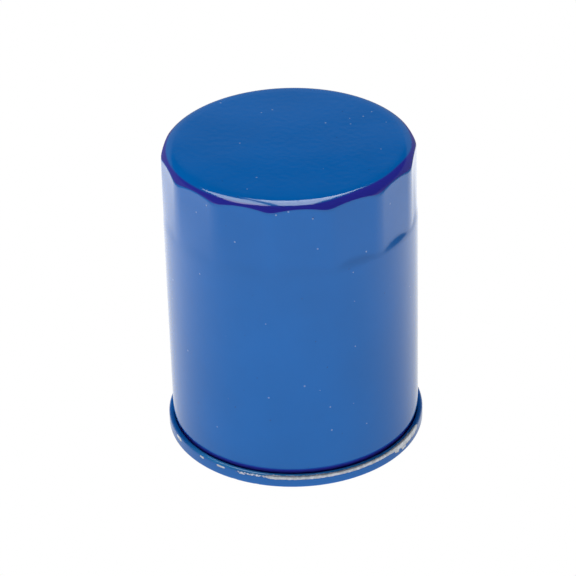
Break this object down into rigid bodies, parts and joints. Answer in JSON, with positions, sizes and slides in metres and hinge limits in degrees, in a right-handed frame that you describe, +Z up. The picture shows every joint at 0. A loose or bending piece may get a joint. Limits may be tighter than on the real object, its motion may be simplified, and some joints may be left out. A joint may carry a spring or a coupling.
{
  "type": "oil filter",
  "caption": "Spin-on oil filter: round steel canister with wrench flats round its closed end, a rolled seam, and a ring gasket on its open end.",
  "frame": {"origin": "centre of the gasket's sealing face, which is the lowest plane of the part and the plane of the engine's filter pad", "axes": "+Z up the filter's axis to the closed end of the canister; -Y towards the middle of one wrench flat; +X and -X pass through ridges between flats"},
  "size_m": [0.0684, 0.0684, 0.0855],
  "materials": {
    "canister_paint": "glossy blue enamel on drawn steel",
    "lid_paint": "the same blue enamel over the rolled seam, worn to bare metal along its upper edge; tinned steel inside the gasket channel",
    "sealing_compound": "dried seaming compound",
    "plate_zinc": "zinc-plated thick steel with a faint yellow passivation",
    "weld_metal": "fused steel",
    "gasket_rubber": "moulded black nitrile rubber",
    "valve_silicone": "moulded orange-red silicone rubber",
    "element_tinplate": "bright tinplate pressing",
    "plastisol": "cured cream plastisol",
    "pleated_paper": "resin-impregnated cellulose paper",
    "spring_steel": "oiled spring steel"
  },
  "bodies": {
    "housing": {"canister": "canister_paint", "seaming_lid": "lid_paint", "seam_sealant": "sealing_compound", "base_plate": "plate_zinc", "spot_weld_1": "weld_metal", "spot_weld_2": "weld_metal", "spot_weld_3": "weld_metal", "spot_weld_4": "weld_metal", "spot_weld_5": "weld_metal", "spot_weld_6": "weld_metal", "mounting_gasket": "gasket_rubber", "element_support_spring": "spring_steel"},
    "drainback_lip": {"anti_drainback_valve": "valve_silicone"},
    "element": {"lower_end_cap": "element_tinplate", "lower_bond_ring": "plastisol", "filter_media": "pleated_paper", "media_seam_clip": "element_tinplate", "center_tube": "element_tinplate", "upper_end_cap": "element_tinplate", "upper_bond_ring": "plastisol", "bypass_cage": "element_tinplate", "bypass_spring": "spring_steel"},
    "bypass_poppet": {"bypass_disc": "element_tinplate", "bypass_seal": "gasket_rubber"}
  },
  "joints": [
    {"name": "element_float", "type": "slide", "parent": "housing", "child": "element", "axis": [0, 0, 1], "range_m": [0, 0.0015], "stiffness_N_per_m": 8000, "springref_m": -0.004, "deforming": ["element_support_spring"]},
    {"name": "bypass_open", "type": "slide", "parent": "element", "child": "bypass_poppet", "axis": [0, 0, -1], "range_m": [0, 0.0035], "stiffness_N_per_m": 1500, "springref_m": -0.008, "deforming": ["bypass_spring"]},
    {"name": "drainback_lift", "type": "slide", "parent": "housing", "child": "drainback_lip", "axis": [0, 0, 1], "range_m": [0, 0.002], "stiffness_N_per_m": 300, "springref_m": -0.002, "deforming": ["anti_drainback_valve"]}
  ]
}
